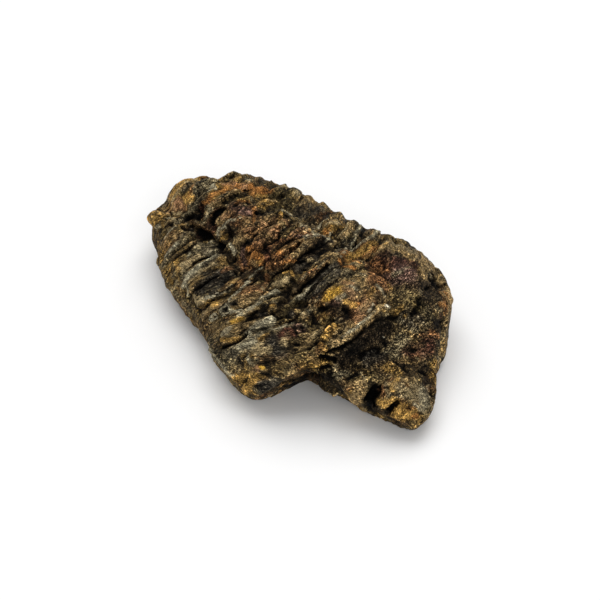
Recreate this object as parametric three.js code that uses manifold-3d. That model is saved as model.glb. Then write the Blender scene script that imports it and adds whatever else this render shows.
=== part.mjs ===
// A trilobite fossil: one stretched-out animal of the blunt, many-ribbed kind, turned to stone with
// the rock that fills its belly side. It is a single lump of stone: a ribbed thorax with a raised
// middle lobe, a small tail, and a broad head that is broken at the front. Its near front corner
// is gone.
//
// Millimetres, +Z up, +X towards the head, -Y is the side with the missing corner. The back is up,
// and the origin is on the resting plane, under the middle of the stone.
import * as THREE from "three";
import { mergeVertices } from "three/addons/utils/BufferGeometryUtils.js";
import Module from "manifold-3d";

const { lerp, clamp, smoothstep } = THREE.MathUtils;
const wasm = await Module();
wasm.setup();

// ---- Driving dimensions ----

// Along the animal's axis.
const TAIL_X = -25.6; // the tail's end
const NECK_X = 12.8; // front of the first rib, in front of it is the head
const HEAD_X = 32.8; // the front of the head
const TAIL_CAP = 4.2; // length over which the tail rounds off
const HEAD_CAP = 3.3; // length over which the head's front rounds off
// From the tail to the neck.
const RIB_LENGTHS = [2, 2.2, 2.3, 2.5, 2.7, 2.8, 3, 3.1, 3.4, 3.7, 3.6, 2.6];

// Rows and columns of points.
const HEAD_ROWS = 24;
const CAP_ROWS = 5;
const LOBE_STEPS = 10; // across the middle lobe
const SIDE_STEPS = 11; // from the lobe to the edge, on each side
const BELLY_STEPS = 10; // across the underside

// Ribs.
const SWEEP_FROM = 6; // distance from the axis where ribs start to bend back
const SWEEP = 0.07; // how fast they bend back, per millimetre
const RIB_PROFILE = [-1, 0.1, 0.9, 1, 0.3]; // over one rib, from its back furrow to its front
const RIB_HEIGHT = 0.6;
const RING_HEIGHT = 0.6; // the same ribs where they cross the middle lobe
const RIB_FADE_AT_FURROW = 0.7;
const LOBE_RISE = 1.5;
const LOBE_FADE = 7; // length over which the lobe and its furrows fade into the head
const FURROW_DEPTH = 1.2;
const FURROW_WIDTH = 1.3;

// How square the body's section is: 1 is an ellipse, and less is squarer.
const BACK_SQUARENESS = 0.8;
const BELLY_SQUARENESS = 0.7;

// The relief fades out where the back turns down to its edge, between these shares of its height.
const RELIEF_FADE = [0.1, 0.5];

// Lines that run the length of the body. Each is a list of [x, value], where x is the place on the
// axis that the row of points starts from before it bends back.
const NEAR_EDGE = [
  [-26, -5], [-18, -9], [-10, -12.1], [0, -14.3], [8, -16], [15, -18.2], [19, -18.6],
  [24, -14], [33, -6.4],
];
const FAR_EDGE = [
  [-26, 3], [-20, 10.3], [-13, 13.1], [-4, 14.5], [6, 15.4], [14, 17.3], [18, 17.6],
  [22, 14.6], [26, 5.2], [30, 0.9], [33, -3],
];
const EDGE_HEIGHT = [[-26, 5.5], [-14, 5], [0, 5], [16, 5], [33, 3.2]];
const CREST_HEIGHT = [
  [-26, 8.2], [-20, 10.8], [-10, 12], [2, 12.8], [14, 12.8], [20, 12], [24, 10.4],
  [29, 8.5], [33, 5.5],
];
const BELLY_HEIGHT = [[-26, 1.5], [-19, -1], [-5, -1.5], [24, -1.5], [30, 0], [33, 2.4]];
const AXIS_HALF_WIDTH = [
  [-26, 2.4], [-20, 4.2], [-8, 5.7], [4, 6.2], [12, 6.2], [22, 5.5], [33, 1],
];
const AXIS_Y = [[-26, 0], [-20, 0], [18, 0], [24, -1], [33, -4.7]]; // the middle of the lobe

// The ledge across the head where its front has broken off, and the drop in front of it.
const LEDGE_X = 20.5;
const LEDGE_MIDDLE_Y = -3;
const LEDGE_BEND = 0.03; // how fast it curves back to each side, per millimetre
const LEDGE_DROP = 2.6;
const LEDGE_SLOPE = 1.3; // length of the drop
const LEDGE_FAR_END = [0, 7]; // y over which it dies away into the far cheek

// Swellings and hollows of the back, each along a line on the plan, with the half width over which
// it fades and its height.
const FORMS = [
  // The far cheek, a low dome, with a pit in front of it and the head's rim beyond.
  { from: [12, 11.5], to: [16, 9.5], width: 4.5, height: 1.2 },
  { from: [18.4, 13], to: [19.8, 9.5], width: 1.2, height: -1.4 },
  { from: [20.6, 13], to: [22.4, 9.5], width: 1.2, height: 0.5 },
  // Furrows on each side of the raised middle of the head, and a knob beside the near one.
  { from: [13.5, -6.6], to: [15.5, -7.6], width: 1.2, height: -1 },
  { from: [13.5, 6.4], to: [17, 5.6], width: 1.4, height: -0.9 },
  { from: [16.6, -7.2], to: [17.6, -9], width: 1.2, height: 0.7 },
  // The hollow in front of the ledge, and what stands round it.
  { from: [22, -6], to: [22.5, 2], width: 2, height: -0.8 },
  { from: [24, -8], to: [24.2, -9], width: 1.1, height: 0.9 },
  { from: [26.3, -7], to: [26.3, -9.5], width: 0.9, height: -1.3 },
  { from: [27.6, -2], to: [28.4, -5], width: 1.8, height: 0.9 },
  { from: [29.1, -6.6], to: [29.3, -8.5], width: 0.7, height: -1 },
  // Holes where stone has fallen out of the near furrow, and two deep gaps between rings.
  { from: [-15.4, -3.2], to: [-13.4, -4.6], width: 0.9, height: -1.3 },
  { from: [-13.2, -5.8], to: [-10.6, -5.8], width: 0.9, height: -1 },
  { from: [-11.2, -2.2], to: [-10.4, -4], width: 0.9, height: -1.2 },
  { from: [6.5, -1], to: [6.5, -4.8], width: 0.9, height: -0.9 },
  { from: [9.7, -1], to: [9.7, -5.2], width: 0.8, height: -0.9 },
];

// The missing corner, as a ring on the plan, and how far its wall leans under the back.
const BREAK_OUTLINE = [
  [40, -30], [9, -30], [12, -14.6], [12.8, -10.7], [13.1, -7.8], [15.5, -7.5], [19.4, -6.7],
  [23.2, -6.5], [29.4, -4.7], [40, -1],
];
const BREAK_LEAN = [0.53, -0.5]; // millimetres per millimetre of height

// The cutting blocks reach past the body on every side.
const CUT_HEIGHT = 20;
const CUT_SPAN = 100;

const SAME_POINT = 1e-3; // points closer than this are one

// ---- Body lines ----

// A smooth function of x through [x, value] points.
function lineThrough(points) {
  const slopes = points.map((_, i) => {
    const a = points[Math.max(i - 1, 0)];
    const b = points[Math.min(i + 1, points.length - 1)];
    return (b[1] - a[1]) / (b[0] - a[0]);
  });
  return (x) => {
    let i = 0;
    while (i < points.length - 2 && x > points[i + 1][0]) i++;
    const [x0, y0] = points[i];
    const [x1, y1] = points[i + 1];
    const w = x1 - x0;
    const t = clamp((x - x0) / w, 0, 1);
    const t2 = t * t;
    const t3 = t2 * t;
    return (
      y0 * (2 * t3 - 3 * t2 + 1) + y1 * (3 * t2 - 2 * t3) +
      slopes[i] * w * (t3 - 2 * t2 + t) + slopes[i + 1] * w * (t3 - t2)
    );
  };
}

const nearEdge = lineThrough(NEAR_EDGE);
const farEdge = lineThrough(FAR_EDGE);
const edgeHeight = lineThrough(EDGE_HEIGHT);
const crestHeight = lineThrough(CREST_HEIGHT);
const bellyHeight = lineThrough(BELLY_HEIGHT);
const axisHalfWidth = lineThrough(AXIS_HALF_WIDTH);
const axisY = lineThrough(AXIS_Y);

// ---- Rows, from the head to the tail ----

// Each row is a closed ring round the body: where it stands, how far its end cap leaves it open,
// and how high the rib stands there.
function bodyRows() {
  const rows = [];
  const addRow = (x, full, rib) => rows.push({ x, full, rib });
  const addCapRow = (end, cap, i) => {
    const turn = ((i / CAP_ROWS) * Math.PI) / 2;
    addRow(end + cap * (1 - Math.cos(turn)), Math.sin(turn), 0);
  };
  for (let i = 0; i < CAP_ROWS; i++) addCapRow(TAIL_X, TAIL_CAP, i);
  let ribStart = NECK_X - RIB_LENGTHS.reduce((sum, length) => sum + length);
  for (const length of RIB_LENGTHS) {
    RIB_PROFILE.forEach((rib, i) => addRow(ribStart + (length * i) / RIB_PROFILE.length, 1, rib));
    ribStart += length;
  }
  for (let i = 0; i <= HEAD_ROWS; i++) {
    const rib = i === 0 ? RIB_PROFILE[0] : 0;
    addRow(lerp(NECK_X, HEAD_X - HEAD_CAP, i / HEAD_ROWS), 1, rib);
  }
  for (let i = CAP_ROWS - 1; i >= 0; i--) addCapRow(HEAD_X, -HEAD_CAP, i);
  return rows.reverse();
}

// How far a point at this distance from the axis lies behind its row's place on the axis.
function bentBack(rowX, y) {
  const fade = clamp((HEAD_X - rowX) / (HEAD_X - NECK_X), 0, 1);
  return SWEEP * Math.pow(Math.max(0, Math.abs(y) - SWEEP_FROM), 2) * fade;
}

// ---- The back's relief ----

function distanceToLine(x, y, [x0, y0], [x1, y1]) {
  const dx = x1 - x0;
  const dy = y1 - y0;
  const t = clamp(((x - x0) * dx + (y - y0) * dy) / (dx * dx + dy * dy), 0, 1);
  return Math.hypot(x - x0 - t * dx, y - y0 - t * dy);
}

function relief(x, y) {
  const inFront = x - (LEDGE_X - LEDGE_BEND * (y - LEDGE_MIDDLE_Y) ** 2);
  const ledge = smoothstep(inFront, 0, LEDGE_SLOPE) * (1 - smoothstep(y, ...LEDGE_FAR_END));
  let z = -LEDGE_DROP * ledge;
  for (const form of FORMS)
    z += form.height * Math.exp(-((distanceToLine(x, y, form.from, form.to) / form.width) ** 2));
  return z;
}

// ---- The body ----

// A point on the back. Steps run from the far edge over the middle lobe to the near edge.
function backPoint(row, step) {
  const far = farEdge(row.x);
  const near = nearEdge(row.x);
  const axis = axisY(row.x);
  const lobeHalf = axisHalfWidth(row.x);
  const sideTurn = (steps) => ((steps / SIDE_STEPS) * Math.PI) / 2;
  const lobeStep = step - SIDE_STEPS;
  let y;
  if (lobeStep <= 0) y = lerp(axis + lobeHalf, far, Math.cos(sideTurn(step)));
  else if (lobeStep <= LOBE_STEPS) y = axis + lobeHalf * (1 - (2 * lobeStep) / LOBE_STEPS);
  else y = lerp(near, axis - lobeHalf, Math.cos(sideTurn(lobeStep - LOBE_STEPS)));
  const across = clamp((2 * y - far - near) / (far - near), -1, 1);
  const rise = Math.sqrt(1 - across * across);
  const waist = edgeHeight(row.x);
  let z = waist + (crestHeight(row.x) - waist) * Math.pow(rise, BACK_SQUARENESS);
  const x = row.x - bentBack(row.x, y);

  const onBack = smoothstep(rise, ...RELIEF_FADE);
  const inHead = smoothstep(row.x, NECK_X, NECK_X + LOBE_FADE);
  const out = Math.abs(y - axis) / lobeHalf;
  const lobe = out < 1 ? Math.sqrt(1 - out * out) : 0;
  const furrow = Math.exp(-(((Math.abs(y - axis) - lobeHalf) / FURROW_WIDTH) ** 2));
  z += onBack * (1 - inHead) * (LOBE_RISE * lobe - FURROW_DEPTH * furrow);
  z += onBack * row.rib * (out < 1 ? RING_HEIGHT : RIB_HEIGHT) * (1 - RIB_FADE_AT_FURROW * furrow);
  z += onBack * relief(x, y);
  return new THREE.Vector3(x, y, z);
}

// A point on the underside. angle runs from 0 at the near edge to half a turn at the far edge.
function bellyPoint(row, angle) {
  const far = farEdge(row.x);
  const near = nearEdge(row.x);
  const y = (far + near) / 2 - ((far - near) / 2) * Math.cos(angle);
  const waist = edgeHeight(row.x);
  const z = waist - (waist - bellyHeight(row.x)) * Math.pow(Math.sin(angle), BELLY_SQUARENESS);
  return new THREE.Vector3(row.x - bentBack(row.x, y), y, z);
}

const BACK_STEPS = 2 * SIDE_STEPS + LOBE_STEPS;

// Steps round a row start under the belly, go up the far side, over the back and down the near.
function bodyPoint(row, step) {
  const middleY = (farEdge(row.x) + nearEdge(row.x)) / 2;
  const start = new THREE.Vector3(row.x, middleY, edgeHeight(row.x));
  const halfBelly = BELLY_STEPS / 2;
  let p;
  if (step < halfBelly) p = bellyPoint(row, (Math.PI * (halfBelly + step)) / BELLY_STEPS);
  else if (step <= halfBelly + BACK_STEPS) p = backPoint(row, step - halfBelly);
  else p = bellyPoint(row, (Math.PI * (step - halfBelly - BACK_STEPS)) / BELLY_STEPS);
  return start.lerp(p, row.full);
}

function bodyGeometry() {
  const rows = bodyRows();
  const steps = BACK_STEPS + BELLY_STEPS;
  const geometry = new THREE.SphereGeometry(1, steps, rows.length - 1);
  const position = geometry.getAttribute("position");
  let i = 0;
  for (const row of rows)
    for (let step = 0; step <= steps; step++) {
      const p = bodyPoint(row, step % steps);
      position.setXYZ(i++, p.x, p.y, p.z);
    }
  return geometry;
}

// ---- Cuts ----

function solidOf(geometry) {
  geometry.deleteAttribute("normal");
  geometry.deleteAttribute("uv");
  const merged = mergeVertices(geometry, SAME_POINT);
  return new wasm.Manifold(
    new wasm.Mesh({
      numProp: 3,
      vertProperties: merged.attributes.position.array,
      triVerts: new Uint32Array(merged.index.array),
    }),
  );
}

function geometryOf(solid) {
  const mesh = solid.getMesh();
  const geometry = new THREE.BufferGeometry();
  geometry.setAttribute("position", new THREE.BufferAttribute(mesh.vertProperties, 3));
  geometry.setIndex(new THREE.BufferAttribute(mesh.triVerts, 1));
  return geometry;
}

// The rock that has gone from the near front corner.
function missingCorner() {
  const outline = new THREE.Shape(BREAK_OUTLINE.map(([x, y]) => new THREE.Vector2(x, y)));
  const block = new THREE.ExtrudeGeometry(outline, { depth: 2 * CUT_HEIGHT, bevelEnabled: false });
  block.translate(0, 0, -CUT_HEIGHT);
  const position = block.getAttribute("position");
  for (let i = 0; i < position.count; i++) {
    const height = position.getZ(i);
    const x = position.getX(i) + height * BREAK_LEAN[0];
    const y = position.getY(i) + height * BREAK_LEAN[1];
    position.setXY(i, x, y);
  }
  return block;
}

// Everything under the resting plane.
function underTheTable() {
  return new THREE.BoxGeometry(CUT_SPAN, CUT_SPAN, CUT_HEIGHT).translate(0, 0, -CUT_HEIGHT / 2);
}

const whole = solidOf(bodyGeometry());
const stoneSolid = whole.subtract(solidOf(missingCorner())).subtract(solidOf(underTheTable()));
const fossilGeometry = geometryOf(stoneSolid);
fossilGeometry.computeBoundingBox();
const middle = fossilGeometry.boundingBox.getCenter(new THREE.Vector3());
fossilGeometry.translate(-middle.x, -middle.y, 0);

const stone = new THREE.MeshStandardMaterial({ color: 0x5c4e38, roughness: 0.8, metalness: 0 });
const fossil = new THREE.Mesh(fossilGeometry, stone);
fossil.name = "trilobite_fossil";

const group = new THREE.Group();
group.add(fossil);
export default group;
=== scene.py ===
"""A trilobite fossil: one lump of dark, mineral-stained stone that lies on its belly side."""
import math

import bpy
import numpy as np
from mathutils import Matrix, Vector, noise


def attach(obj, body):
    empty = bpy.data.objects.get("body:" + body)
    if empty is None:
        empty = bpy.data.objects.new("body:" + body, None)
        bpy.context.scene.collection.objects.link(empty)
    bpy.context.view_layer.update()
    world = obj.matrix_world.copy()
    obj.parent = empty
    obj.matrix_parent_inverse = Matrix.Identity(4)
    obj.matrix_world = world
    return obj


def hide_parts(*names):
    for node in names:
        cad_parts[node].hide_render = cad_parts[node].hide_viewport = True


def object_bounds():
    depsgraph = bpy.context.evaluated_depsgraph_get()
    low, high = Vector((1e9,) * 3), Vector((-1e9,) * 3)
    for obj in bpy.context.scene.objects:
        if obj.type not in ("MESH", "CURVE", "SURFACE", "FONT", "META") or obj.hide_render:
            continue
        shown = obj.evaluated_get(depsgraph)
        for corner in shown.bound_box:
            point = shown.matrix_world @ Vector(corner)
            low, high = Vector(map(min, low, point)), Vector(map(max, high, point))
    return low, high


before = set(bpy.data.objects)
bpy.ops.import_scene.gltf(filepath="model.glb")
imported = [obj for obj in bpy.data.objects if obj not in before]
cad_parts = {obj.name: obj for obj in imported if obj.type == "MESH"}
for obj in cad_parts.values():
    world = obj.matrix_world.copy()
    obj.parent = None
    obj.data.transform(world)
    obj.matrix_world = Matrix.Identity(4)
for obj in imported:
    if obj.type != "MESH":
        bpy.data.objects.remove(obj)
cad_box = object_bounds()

# ---- Camera ----
# A long lens above the head's near side, so that the tail points to the upper left of the picture.
# Its distance and target frame the whole stone in a square picture, 600 pixels wide.
CAMERA_AZIMUTH = math.radians(47)
CAMERA_ELEVATION = math.radians(42)
CAMERA_LENS = 120
CAMERA_DISTANCE = 0.297
CAMERA_TARGET = Vector((-0.0036, 0.00353, 0))
SENSOR_WIDTH = 36
VIEW_PIXELS = 600

toward_camera = Vector((
    math.sin(CAMERA_AZIMUTH) * math.cos(CAMERA_ELEVATION),
    -math.cos(CAMERA_AZIMUTH) * math.cos(CAMERA_ELEVATION),
    math.sin(CAMERA_ELEVATION),
))
camera_place = CAMERA_TARGET + toward_camera * CAMERA_DISTANCE
camera_turn = (-toward_camera).to_track_quat("-Z", "Y")
bpy.ops.object.camera_add(location=camera_place)
camera = bpy.context.object
camera.rotation_euler = camera_turn.to_euler()
camera.data.lens = CAMERA_LENS
camera.data.sensor_width = SENSOR_WIDTH
camera.data.clip_start = 0.01
camera.data.clip_end = 10
bpy.context.scene.camera = camera

# ---- The fossil stone ----
# A trilobite's back, turned to stone, and the stained clay rock that fills it, in one lump. It is the
# solid's own form under an even skin of small faces, with the broken and worn surface worked into the
# skin. It lies loose on its belly side.
MM = 0.001
MERGE_WITHIN = 0.001 * MM
SKIN_VOXEL = 0.4 * MM
SKIN_SMOOTHING = 5
FINER_ABOVE = 0.1

cad_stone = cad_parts["trilobite_fossil"]
stone = bpy.data.objects.new("fossil_stone", cad_stone.data.copy())
bpy.context.collection.objects.link(stone)
stone.data.materials.clear()


def select_only(piece):
    bpy.ops.object.select_all(action="DESELECT")
    piece.select_set(True)
    bpy.context.view_layer.objects.active = piece


def finish_with(kind, **settings):
    """Adds a modifier to the active piece and applies it."""
    bpy.ops.object.modifier_add(type=kind)
    modifier = bpy.context.object.modifiers[-1]
    for name, value in settings.items():
        setattr(modifier, name, value)
    bpy.ops.object.modifier_apply(modifier=modifier.name)


# The faces that look up more than a little are split once more, for the fine relief that they carry.
select_only(stone)
bpy.ops.object.mode_set(mode="EDIT")
bpy.ops.mesh.select_all(action="SELECT")
bpy.ops.mesh.remove_doubles(threshold=MERGE_WITHIN)
bpy.ops.object.mode_set(mode="OBJECT")
finish_with("REMESH", mode="VOXEL", voxel_size=SKIN_VOXEL, adaptivity=0)
finish_with("SMOOTH", factor=0.5, iterations=SKIN_SMOOTHING)
skin = stone.data
facing = np.empty(len(skin.polygons) * 3)
skin.polygons.foreach_get("normal", facing)
bpy.context.tool_settings.mesh_select_mode = (False, False, True)
skin.polygons.foreach_set("select", facing[2::3] > FINER_ABOVE)
bpy.ops.object.mode_set(mode="EDIT")
bpy.ops.mesh.subdivide(number_cuts=1)
bpy.ops.object.mode_set(mode="OBJECT")

# The ribs bend back on each side, so each point also has the place on the axis where its rib starts.
# Places are in millimetres, along the animal from tail to head, across it and up. The bend starts
# some way out from the axis, and the head, from the neck to its front, takes it up again.
AXIS_Y = 0.53
RIB_BEND_FROM = 6
RIB_BEND = 0.07
RIB_PITCH = 2.9
NECK = 9.2
FRONT = 29.2


def values_of(collection, name, size=3):
    values = np.empty(len(collection) * size)
    collection.foreach_get(name, values)
    return values.reshape(-1, size)


def smooth(value, low, high):
    """0 below low, 1 above high, and a smooth step between."""
    t = np.clip((value - low) / (high - low), 0, 1)
    return t * t * (3 - 2 * t)


points = values_of(skin.vertices, "co") / MM
normals = values_of(skin.vertex_normals, "vector")
across = points[:, 1] - AXIS_Y
bend = RIB_BEND * np.maximum(np.abs(across) - RIB_BEND_FROM, 0) ** 2
in_thorax = points[:, 0] + bend
in_head = (points[:, 0] + bend * FRONT / (FRONT - NECK)) / (1 + bend / (FRONT - NECK))
rib_place = np.where(in_thorax < NECK, in_thorax, in_head)

# Where a point's normal points almost straight down it is on the underside, which stays plain. The
# flank is where it points sideways or a little down. Tilts are the normal's upward part.
UNDERSIDE_TILTS = -0.97, -0.8
FLANK_TILTS = 0.2, 0.6
on_top = smooth(normals[:, 2], *UNDERSIDE_TILTS)
flank = on_top * (1 - smooth(normals[:, 2], *FLANK_TILTS))


def uneven(size, seed):
    """A noise value at each point. Its blots have a size in millimetres along, across and up."""
    places = np.column_stack((rib_place / size[0], across / size[1], points[:, 2] / size[2])) + seed
    return np.array([noise.noise(place) for place in places.tolist()])


def pushes(size, seed):
    """Three noise values at each point, to push it to and fro along each axis."""
    return np.column_stack([uneven((size, size, size), seed + turn) for turn in range(3)])


# Five noises, from broad blots to fine ones, give the stone its unevenness.
BLOT_SIZES = (6, 3, 1.5, 0.8, 0.4)
blots = [uneven((size, size, size), 50 + 10 * turn) for turn, size in enumerate(BLOT_SIZES)]

# The stone's colours. Iron stains run from yellow through rust to a purple brown and clay is grey or
# olive. Black is mostly painted shade, in the deep holes, gaps and clefts and under the overhangs, and
# it also draws the dark lines of cracks. Each is a red, green and blue out of 255.
COLOURS = {
    "black": (14, 12, 10),
    "umber": (42, 34, 24),
    "brown": (82, 64, 42),
    "rust": (112, 78, 50),
    "maroon": (74, 46, 36),
    "purple": (96, 74, 65),
    "orange": (158, 108, 58),
    "ochre": (132, 104, 56),
    "gold": (166, 130, 70),
    "yellow": (200, 156, 66),
    "rose": (156, 118, 84),
    "tan": (138, 116, 80),
    "sand": (162, 143, 106),
    "clay": (152, 144, 120),
    "ash": (102, 93, 72),
    "slate": (58, 54, 47),
    "olive": (102, 87, 57),
    "moss": (66, 57, 36),
    "white": (215, 205, 180),
}
COLOUR_STRENGTH = 0.93


def linear(name):
    """A colour as Blender counts it, in linear light."""
    parts = np.array(COLOURS[name]) / 255
    return COLOUR_STRENGTH * np.where(parts < 0.04045, parts / 12.92, ((parts + 0.055) / 1.055) ** 2.4)


# The marks are strokes, laid one over another. Each line holds a stroke's colour, half its width in
# pixels, how well it covers in per cent, how far it stands out in hundredths of a millimetre and the
# places that it runs through. A place is across and down the camera's view, in pixels of a square
# 600 pixels wide.

# The outline swells where the stone stands out.
OUTLINE_SWELLS = """
tan 9 0 60 186,190 200,185 214,185
tan 7 0 50 278,192 290,192 297,195
tan 9 0 45 352,226 375,233 402,243
tan 8 0 45 440,272 447,286 449,296
tan 7 0 -45 443,325 442,340 440,352
tan 9 0 35 158,262 172,290 192,322
tan 7 0 -40 226,177 236,175
umber 5.5 0 100 323,381 329,385 335,389
umber 4 0 -60 308,376 315,376
tan 3 0 -30 230,175 237,174
tan 3 0 -40 229,175 238,174
tan 6 0 -25 445,330 443,345 441,360
"""

# Broad stains, from the tail to the front. The broad black stroke under the head's ledge is painted
# shadow, and the black and slate strokes along the near cheek's lower edge are painted shade.
BROAD_STAINS_AND_SHADE = """
gold 9 85 0 172,200 180,190 190,183
rose 8 60 0 172,210 182,203
ash 8 75 0 200,192 209,183
ochre 7 70 0 216,193 226,184 238,182
orange 7 70 0 244,188 256,190 268,192
moss 7 80 0 262,180 276,186 288,194
umber 8 80 0 182,218 194,215 206,206
maroon 7 70 0 199,236 208,226 218,212
umber 8 85 0 219,247 227,238 232,228
rust 12 60 0 236,214 252,224 270,228
purple 9 60 0 236,206 250,212
tan 9 50 0 248,226 262,222
rust 10 70 0 245,262 258,250 274,240
orange 8 50 0 252,262 262,256
rust 9 70 0 276,232 292,240 300,236
moss 8 80 0 276,202 288,206 296,212
slate 8 70 0 300,214 316,208
umber 8 50 0 312,222 326,214
tan 6 60 0 322,226 336,222
ochre 6 70 0 324,236 334,228
sand 6 60 0 335,246 350,232
slate 7 70 0 340,250 352,240 362,230
tan 8 60 0 360,240 378,236
orange 8 75 0 348,256 362,250 374,246
umber 9 80 0 300,262 316,252 330,242
umber 9 80 0 276,268 262,272 240,270
umber 8 80 0 290,296 304,284 324,270
slate 8 60 0 318,290 332,280 344,274
tan 10 60 0 386,244 404,250 420,262
rust 12 75 0 374,270 380,284
purple 13 80 0 398,264 408,278
brown 9 60 0 372,292 384,298
olive 10 60 0 396,300 408,310
umber 10 85 0 424,282 436,290 428,304
slate 10 70 0 408,318 424,316
orange 6 60 0 445,296 447,312
umber 9 80 0 436,326 430,338 436,348
yellow 8 65 0 334,292 344,286
tan 8 50 0 352,288 362,292
umber 8 70 0 332,308 346,312
rust 8 60 0 356,302 368,298
tan 8 60 0 336,338 352,326 368,314
olive 8 50 0 312,336 322,328
black 14 75 0 340,352 360,346 380,332
umber 10 70 0 346,368 362,364 376,356
ash 11 60 0 392,350 402,344
maroon 9 70 0 414,352 426,350
brown 9 60 0 384,368 396,366
umber 9 75 0 404,370 424,372
ochre 6 60 0 434,366 434,380
umber 9 80 0 326,382 338,388
gold 8 70 0 356,392 354,404
black 6 80 0 372,388 370,408
tan 8 70 0 392,384 404,386
sand 10 60 0 416,394 424,402
gold 9 75 0 398,412 412,412
ochre 8 75 0 236,376 246,384 254,390
slate 9 75 0 262,390 278,386
black 7 80 0 290,382 304,376
olive 9 60 0 268,370 284,368
ochre 7 60 0 306,364 324,362
olive 8 50 0 296,356 310,350
slate 9 75 0 272,340 280,352
clay 7 60 0 236,348 252,344
umber 7 60 0 252,366 264,362
clay 7 60 0 252,334 266,326
umber 9 80 0 266,316 282,308 290,318
purple 8 50 0 284,334 296,330
tan 8 60 0 226,340 238,328 250,322
tan 8 60 0 206,312 222,304 236,300
slate 9 75 0 202,290 216,282 228,276
tan 7 60 0 240,304 254,296 266,290
olive 10 60 0 168,262 184,252 200,246
clay 9 50 0 186,276 198,266 212,256
ochre 6 50 0 164,270 170,284 178,298
umber 6 40 0 166,232 176,226
brown 8 50 0 196,324 210,334
rust 8 60 0 244,286 256,290
"""

# The tail: tan clay with a grey band across it.
TAIL_CLAY = """
sand 4 90 0 170,199 174,191 181,185
sand 3.4 90 5 184,184 190,181 196,180
umber 2.5 70 0 199,177 206,178 212,178
ochre 2.5 80 0 215,177 219,178
moss 3.4 90 -15 184,193 188,188 192,186
ash 6 85 0 194,201 202,192 212,184
umber 1.6 80 -20 195,206 201,200 207,192
clay 2.6 80 5 210,190 214,186
gold 3.6 80 5 184,199 190,195
rose 4.5 80 5 176,208 180,203
rust 1.6 70 0 183,207 188,203
sand 2.4 85 5 174,214 181,213
ash 3 85 20 183,219 190,213 198,206
black 1.4 90 -30 171,213 173,218
gold 5 90 5 171,203 174,192 181,184 190,179 200,177
sand 2.4 90 5 172,204 176,195 181,187 188,182
sand 2.4 80 5 172,206 176,209
umber 2.4 85 -15 203,178 210,177
ash 3.4 85 0 163,216 169,219 177,223
umber 1.8 85 -20 168,222 172,226
gold 4 80 10 186,201 192,198
rose 6 60 5 172,208 180,205
gold 3 70 5 170,196 176,190 182,184
slate 5 60 -10 186,190 194,184
ash 6 75 0 198,190 206,184 213,180
clay 1.6 90 5 213,186 216,189
ash 2 70 10 182,216 190,211 196,205
ochre 3 60 0 184,180 194,176
rose 4 60 5 178,202 184,208
gold 2.4 60 0 174,204 170,212
rust 2 50 0 200,178 208,176
"""

# The tab that stands out behind the tail.
TAIL_TAB = """
ochre 8 90 130 157,219 160,222
brown 2 70 0 153,213 160,209 168,204
gold 2 80 0 153,222 156,222
tan 2.5 0 -50 149,211 154,208
tan 2.5 0 -40 148,223 151,227
"""

# The big holes beside the tail. Their black strokes are painted shade in the holes.
BIG_HOLES = """
black 3.4 95 -50 186,219 194,216 200,219
maroon 4.5 90 -50 201,208 203,214
black 2.4 90 -40 197,209 199,214
ash 2 90 40 214,205 210,211 207,218 204,225
black 4.2 97 -80 224,210 218,214 212,222
maroon 3.4 80 -40 212,226 217,230
black 4.6 100 -80 199,231 203,235 208,236
black 2.6 95 -40 183,226 188,230
black 3 100 -70 218,244 224,247
white 1 90 10 211,244 213,246
umber 3 85 -30 211,236 214,240
tan 2 90 30 220,228 217,236
gold 1.4 80 0 222,236 220,240
umber 3.6 90 -30 184,228 192,228
brown 2 90 30 190,222 198,225 204,226
slate 1 90 20 178,219 186,223 192,230
ash 0.9 90 20 204,214 208,208 214,203
rust 2 60 10 204,206 210,202
maroon 2.4 80 10 213,233 218,236
"""

# Orange bands between the tail and the back.
ORANGE_BANDS = """
gold 4.2 90 5 212,200 218,194 228,189
sand 1.6 70 5 219,199 226,192 234,190
orange 2.6 85 0 205,202 213,203
rust 1.8 70 0 216,192 214,199
rose 3.6 90 5 225,184 236,186 247,187
orange 4 95 5 250,187 260,190 271,192
gold 2.5 80 5 258,196 266,196
moss 3 90 -20 222,203 229,197 236,194 247,193
tan 1.6 80 10 217,206 223,200 230,192 240,190
black 1.4 100 -30 237,189 245,190 252,190
black 1.1 100 -20 264,198 272,199
orange 4 80 10 212,198 220,193 230,188 238,187
gold 2.4 85 10 213,197 220,192 228,188
rose 3 70 0 227,182 234,184
rust 1.6 80 0 208,201 214,203 220,200
tan 1.4 90 15 214,205 222,199 230,195 240,190
orange 2.6 60 0 207,201 212,196 218,192 226,189 236,187
orange 3 50 0 256,189 264,188 270,191
gold 1.6 50 0 262,184 272,186 283,189
orange 1.6 50 0 188,197 192,192 195,188
"""

# The far side by the tail.
FAR_SIDE_BY_TAIL = """
olive 3.5 80 0 226,178 235,175 243,174
umber 2.2 80 -10 242,182 250,178 258,179
clay 2.2 60 0 246,177 250,180
moss 3 80 0 262,183 270,184 278,187
sand 2 80 10 276,188 285,187 292,186
moss 6 90 -20 276,196 286,194 290,200
black 2.4 90 -30 282,196 286,197
umber 2 90 0 296,190 301,196
tan 3 80 15 303,198 309,197 313,200
umber 5 70 -10 302,208 298,214
slate 5 60 0 305,216 314,212 322,206
tan 2.4 80 10 325,206 329,209
rust 1.8 80 -10 320,216 327,213 332,212
"""

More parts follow.
